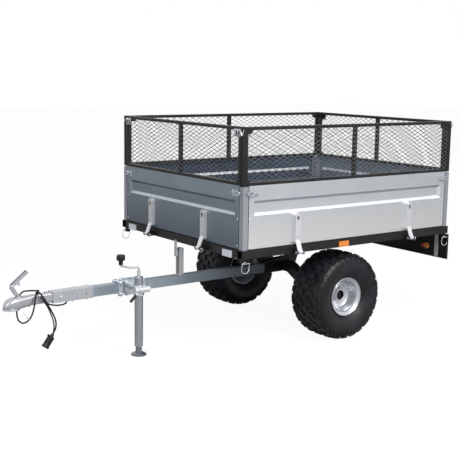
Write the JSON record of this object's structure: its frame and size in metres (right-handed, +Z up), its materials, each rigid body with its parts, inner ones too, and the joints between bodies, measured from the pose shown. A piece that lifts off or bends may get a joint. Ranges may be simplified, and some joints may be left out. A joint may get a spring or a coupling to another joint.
{
  "type": "all-terrain vehicle trailer",
  "caption": "Single-axle off-road trailer with a tipping bed, fold-down galvanised sides under mesh panels, ball coupling, jack and balloon tyres.",
  "frame": {"origin": "centre of the whole trailer's footprint, on the floor", "axes": "+X forward towards the coupling, +Y to the trailer's left, +Z up"},
  "size_m": [2.817, 1.39, 1.304],
  "materials": {
    "galvanised": "hot-dip galvanised sheet",
    "zinc_fittings": "zinc plated",
    "black_powder": "black powder coat",
    "rim_silver": "silver paint",
    "tyre_rubber": "moulded rubber",
    "black_plastic": "moulded",
    "cord_jacket": "smooth",
    "white_lens": "clear",
    "amber_lens": "amber",
    "red_lens": "red"
  },
  "bodies": {
    "chassis": {"drawbar_tube": "galvanised", "coupling_sleeve": "galvanised", "coupling_head": "galvanised", "coupling_lever": "galvanised", "jack_bracket": "zinc_fittings", "jack_clamp": "galvanised", "jack_grip": "black_plastic", "tip_post": "galvanised", "tip_latch": "zinc_fittings", "axle_beam": "black_powder", "axle_bracket": "black_powder", "plug_cord": "cord_jacket", "plug": "black_plastic"},
    "left_wheel": {"left_tyre": "tyre_rubber", "left_rim": "rim_silver", "left_hub": "black_powder"},
    "right_wheel": {"right_tyre": "tyre_rubber", "right_rim": "rim_silver", "right_hub": "black_powder"},
    "bed": {"bed_rails": "black_powder", "bed_cross_members": "black_powder", "bed_floor": "galvanised", "corner_posts": "galvanised", "post_stakes": "zinc_fittings", "hinge_lugs": "black_powder", "hinge_pins": "zinc_fittings", "pivot_tube": "zinc_fittings", "pivot_hangers": "black_powder", "white_reflectors": "white_lens", "amber_reflectors": "amber_lens", "light_board": "black_powder", "board_strips": "galvanised", "tail_lamps": "red_lens"},
    "jack": {"jack_tube": "galvanised", "jack_crank": "zinc_fittings", "jack_knob": "black_plastic"},
    "leg": {"jack_leg": "galvanised"},
    "front_drop": {"front_panel": "galvanised", "front_straps": "galvanised", "front_latches": "zinc_fittings", "front_mesh": "black_powder"},
    "left_drop": {"left_panel": "galvanised", "left_straps": "galvanised", "left_latches": "zinc_fittings", "left_mesh": "black_powder"},
    "right_drop": {"right_panel": "galvanised", "right_straps": "galvanised", "right_latches": "zinc_fittings", "right_mesh": "black_powder"},
    "tailgate_drop": {"tailgate_panel": "galvanised", "tailgate_straps": "galvanised", "tailgate_latches": "zinc_fittings", "tailgate_mesh": "black_powder"}
  },
  "joints": [
    {"name": "left_wheel_spin", "type": "hinge", "parent": "chassis", "child": "left_wheel", "pos_m": [-0.5185, 0.509, 0.267], "axis": [0, 1, 0], "continuous": true},
    {"name": "right_wheel_spin", "type": "hinge", "parent": "chassis", "child": "right_wheel", "pos_m": [-0.5185, -0.509, 0.267], "axis": [0, 1, 0], "continuous": true},
    {"name": "bed_tip", "type": "hinge", "parent": "chassis", "child": "bed", "pos_m": [-0.6385, 0, 0.545], "axis": [0, -1, 0], "range_deg": [0, 35]},
    {"name": "front_panel_fold", "type": "hinge", "parent": "bed", "child": "front_drop", "pos_m": [0.3385, 0, 0.597], "axis": [0, 1, 0], "range_deg": [0, 90]},
    {"name": "left_panel_fold", "type": "hinge", "parent": "bed", "child": "left_drop", "pos_m": [-0.5285, 0.682, 0.597], "axis": [1, 0, 0], "range_deg": [-140, 0]},
    {"name": "right_panel_fold", "type": "hinge", "parent": "bed", "child": "right_drop", "pos_m": [-0.5285, -0.682, 0.597], "axis": [-1, 0, 0], "range_deg": [-140, 0]},
    {"name": "tailgate_fold", "type": "hinge", "parent": "bed", "child": "tailgate_drop", "pos_m": [-1.3955, 0, 0.597], "axis": [0, 1, 0], "range_deg": [-140, 0]},
    {"name": "jack_lift", "type": "slide", "parent": "chassis", "child": "jack", "axis": [0, 0, -1], "range_m": [-0.18, 0]},
    {"name": "leg_screw", "type": "slide", "parent": "jack", "child": "leg", "axis": [0, 0, -1], "range_m": [-0.025, 0.2]}
  ]
}
